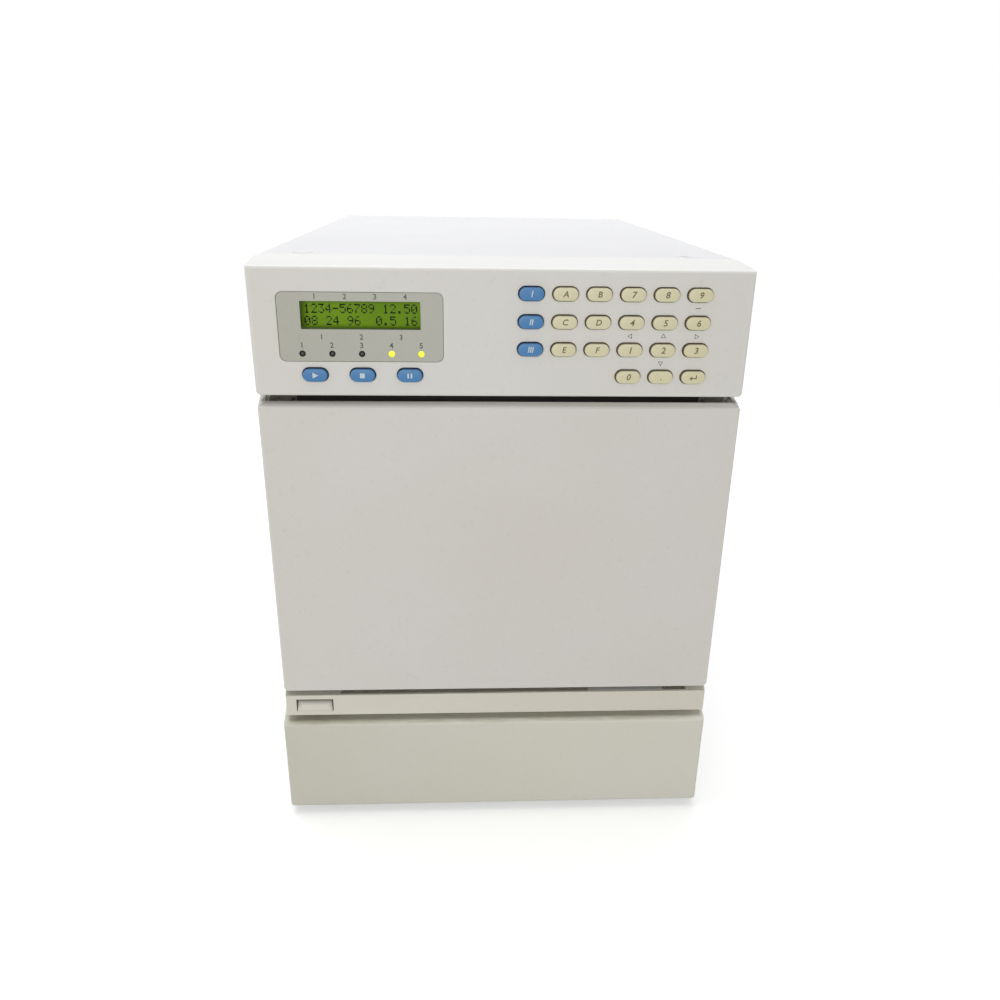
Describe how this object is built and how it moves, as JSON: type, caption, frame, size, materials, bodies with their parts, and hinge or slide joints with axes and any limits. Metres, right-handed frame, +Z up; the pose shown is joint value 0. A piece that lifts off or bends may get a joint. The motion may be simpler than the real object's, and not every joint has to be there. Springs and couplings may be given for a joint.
{
  "type": "autosampler",
  "caption": "Benchtop liquid chromatography autosampler on a cooler base: keypad and display fascia over a flip-up door, with rack, needle mechanism, valve and pump inside.",
  "frame": {"origin": "middle of the footprint, on the table under the feet", "axes": "+Z up, the front with keypad and door faces -Y, +X to the right as seen from the front"},
  "size_m": [0.26, 0.42, 0.3256],
  "materials": {
    "fascia": "matte",
    "door": "matte",
    "liner": "matte",
    "cream": "matte",
    "base": "matte",
    "cover": "satin",
    "cream_key": "satin",
    "blue_key": "satin",
    "window": "satin",
    "lcd": "gloss",
    "board": "satin",
    "rubber": "matte",
    "steel": "satin",
    "aluminium": "satin",
    "black": "matte",
    "rack": "matte"
  },
  "bodies": {
    "cabinet": {"front_fascia": "fascia", "display_window": "window", "lcd_module": "lcd", "control_board": "board", "front_frame": "cream", "hinge_pin_left": "steel", "hinge_pin_right": "steel", "wrap_cover": "cover", "rear_panel": "cover", "unit_floor": "steel", "partition_wall": "steel", "base_cover": "base", "base_plate": "steel", "foot_front_left": "rubber", "foot_front_right": "rubber", "foot_rear_left": "rubber", "foot_rear_right": "rubber", "power_supply": "aluminium", "power_inlet": "black", "cooling_block": "aluminium", "sample_rack": "rack", "x_rail": "aluminium", "injection_valve": "aluminium", "measuring_pump": "aluminium", "main_board": "board", "fan_frame": "black"},
    "door": {"door": "door", "door_liner": "liner"},
    "power_key": {"power_key": "cream"},
    "x_carriage": {"x_carriage": "aluminium"},
    "y_carriage": {"y_carriage": "black"},
    "needle_carrier": {"needle_holder": "aluminium", "needle": "steel"},
    "valve_rotor": {"valve_rotor": "steel"},
    "pump_plunger": {"pump_plunger": "steel"},
    "fan_rotor": {"fan_rotor": "black"},
    "key_0": {"key_0": "cream_key"},
    "key_1": {"key_1": "cream_key"},
    "key_2": {"key_2": "cream_key"},
    "key_3": {"key_3": "cream_key"},
    "key_4": {"key_4": "cream_key"},
    "key_5": {"key_5": "cream_key"},
    "key_6": {"key_6": "cream_key"},
    "key_7": {"key_7": "cream_key"},
    "key_8": {"key_8": "cream_key"},
    "key_9": {"key_9": "cream_key"},
    "key_point": {"key_point": "cream_key"},
    "key_enter": {"key_enter": "cream_key"},
    "key_a": {"key_a": "cream_key"},
    "key_b": {"key_b": "cream_key"},
    "key_c": {"key_c": "cream_key"},
    "key_d": {"key_d": "cream_key"},
    "key_e": {"key_e": "cream_key"},
    "key_f": {"key_f": "cream_key"},
    "key_f1": {"key_f1": "blue_key"},
    "key_f2": {"key_f2": "blue_key"},
    "key_f3": {"key_f3": "blue_key"},
    "key_start": {"key_start": "blue_key"},
    "key_stop": {"key_stop": "blue_key"},
    "key_sleep": {"key_sleep": "blue_key"}
  },
  "joints": [
    {"name": "door_hinge", "type": "hinge", "parent": "cabinet", "child": "door", "pos_m": [0, -0.1995, 0.2501], "axis": [-1, 0, 0], "range_deg": [0, 90]},
    {"name": "needle_x", "type": "slide", "parent": "cabinet", "child": "x_carriage", "axis": [-1, 0, 0], "range_m": [0, 0.16]},
    {"name": "needle_y", "type": "slide", "parent": "x_carriage", "child": "y_carriage", "axis": [0, -1, 0], "range_m": [0, 0.12]},
    {"name": "needle_z", "type": "slide", "parent": "y_carriage", "child": "needle_carrier", "axis": [0, 0, -1], "range_m": [0, 0.069]},
    {"name": "valve_turn", "type": "hinge", "parent": "cabinet", "child": "valve_rotor", "pos_m": [0.084, -0.0245, 0.1045], "axis": [0, -1, 0], "range_deg": [0, 60]},
    {"name": "pump_stroke", "type": "slide", "parent": "cabinet", "child": "pump_plunger", "axis": [0, 0, -1], "range_m": [0, 0.014]},
    {"name": "fan_spin", "type": "hinge", "parent": "cabinet", "child": "fan_rotor", "pos_m": [-0.05, 0.2012, 0.1935], "axis": [0, 1, 0], "continuous": true},
    {"name": "power_key_press", "type": "slide", "parent": "cabinet", "child": "power_key", "axis": [0, 1, 0], "range_m": [0, 0.003], "stiffness_N_per_m": 400},
    {"name": "key_0_press", "type": "slide", "parent": "cabinet", "child": "key_0", "axis": [0, 1, 0], "range_m": [0, 0.0012], "stiffness_N_per_m": 600},
    {"name": "key_1_press", "type": "slide", "parent": "cabinet", "child": "key_1", "axis": [0, 1, 0], "range_m": [0, 0.0012], "stiffness_N_per_m": 600},
    {"name": "key_2_press", "type": "slide", "parent": "cabinet", "child": "key_2", "axis": [0, 1, 0], "range_m": [0, 0.0012], "stiffness_N_per_m": 600},
    {"name": "key_3_press", "type": "slide", "parent": "cabinet", "child": "key_3", "axis": [0, 1, 0], "range_m": [0, 0.0012], "stiffness_N_per_m": 600},
    {"name": "key_4_press", "type": "slide", "parent": "cabinet", "child": "key_4", "axis": [0, 1, 0], "range_m": [0, 0.0012], "stiffness_N_per_m": 600},
    {"name": "key_5_press", "type": "slide", "parent": "cabinet", "child": "key_5", "axis": [0, 1, 0], "range_m": [0, 0.0012], "stiffness_N_per_m": 600},
    {"name": "key_6_press", "type": "slide", "parent": "cabinet", "child": "key_6", "axis": [0, 1, 0], "range_m": [0, 0.0012], "stiffness_N_per_m": 600},
    {"name": "key_7_press", "type": "slide", "parent": "cabinet", "child": "key_7", "axis": [0, 1, 0], "range_m": [0, 0.0012], "stiffness_N_per_m": 600},
    {"name": "key_8_press", "type": "slide", "parent": "cabinet", "child": "key_8", "axis": [0, 1, 0], "range_m": [0, 0.0012], "stiffness_N_per_m": 600},
    {"name": "key_9_press", "type": "slide", "parent": "cabinet", "child": "key_9", "axis": [0, 1, 0], "range_m": [0, 0.0012], "stiffness_N_per_m": 600},
    {"name": "key_point_press", "type": "slide", "parent": "cabinet", "child": "key_point", "axis": [0, 1, 0], "range_m": [0, 0.0012], "stiffness_N_per_m": 600},
    {"name": "key_enter_press", "type": "slide", "parent": "cabinet", "child": "key_enter", "axis": [0, 1, 0], "range_m": [0, 0.0012], "stiffness_N_per_m": 600},
    {"name": "key_a_press", "type": "slide", "parent": "cabinet", "child": "key_a", "axis": [0, 1, 0], "range_m": [0, 0.0012], "stiffness_N_per_m": 600},
    {"name": "key_b_press", "type": "slide", "parent": "cabinet", "child": "key_b", "axis": [0, 1, 0], "range_m": [0, 0.0012], "stiffness_N_per_m": 600},
    {"name": "key_c_press", "type": "slide", "parent": "cabinet", "child": "key_c", "axis": [0, 1, 0], "range_m": [0, 0.0012], "stiffness_N_per_m": 600},
    {"name": "key_d_press", "type": "slide", "parent": "cabinet", "child": "key_d", "axis": [0, 1, 0], "range_m": [0, 0.0012], "stiffness_N_per_m": 600},
    {"name": "key_e_press", "type": "slide", "parent": "cabinet", "child": "key_e", "axis": [0, 1, 0], "range_m": [0, 0.0012], "stiffness_N_per_m": 600},
    {"name": "key_f_press", "type": "slide", "parent": "cabinet", "child": "key_f", "axis": [0, 1, 0], "range_m": [0, 0.0012], "stiffness_N_per_m": 600},
    {"name": "key_f1_press", "type": "slide", "parent": "cabinet", "child": "key_f1", "axis": [0, 1, 0], "range_m": [0, 0.0012], "stiffness_N_per_m": 600},
    {"name": "key_f2_press", "type": "slide", "parent": "cabinet", "child": "key_f2", "axis": [0, 1, 0], "range_m": [0, 0.0012], "stiffness_N_per_m": 600},
    {"name": "key_f3_press", "type": "slide", "parent": "cabinet", "child": "key_f3", "axis": [0, 1, 0], "range_m": [0, 0.0012], "stiffness_N_per_m": 600},
    {"name": "key_start_press", "type": "slide", "parent": "cabinet", "child": "key_start", "axis": [0, 1, 0], "range_m": [0, 0.0012], "stiffness_N_per_m": 600},
    {"name": "key_stop_press", "type": "slide", "parent": "cabinet", "child": "key_stop", "axis": [0, 1, 0], "range_m": [0, 0.0012], "stiffness_N_per_m": 600},
    {"name": "key_sleep_press", "type": "slide", "parent": "cabinet", "child": "key_sleep", "axis": [0, 1, 0], "range_m": [0, 0.0012], "stiffness_N_per_m": 600}
  ]
}
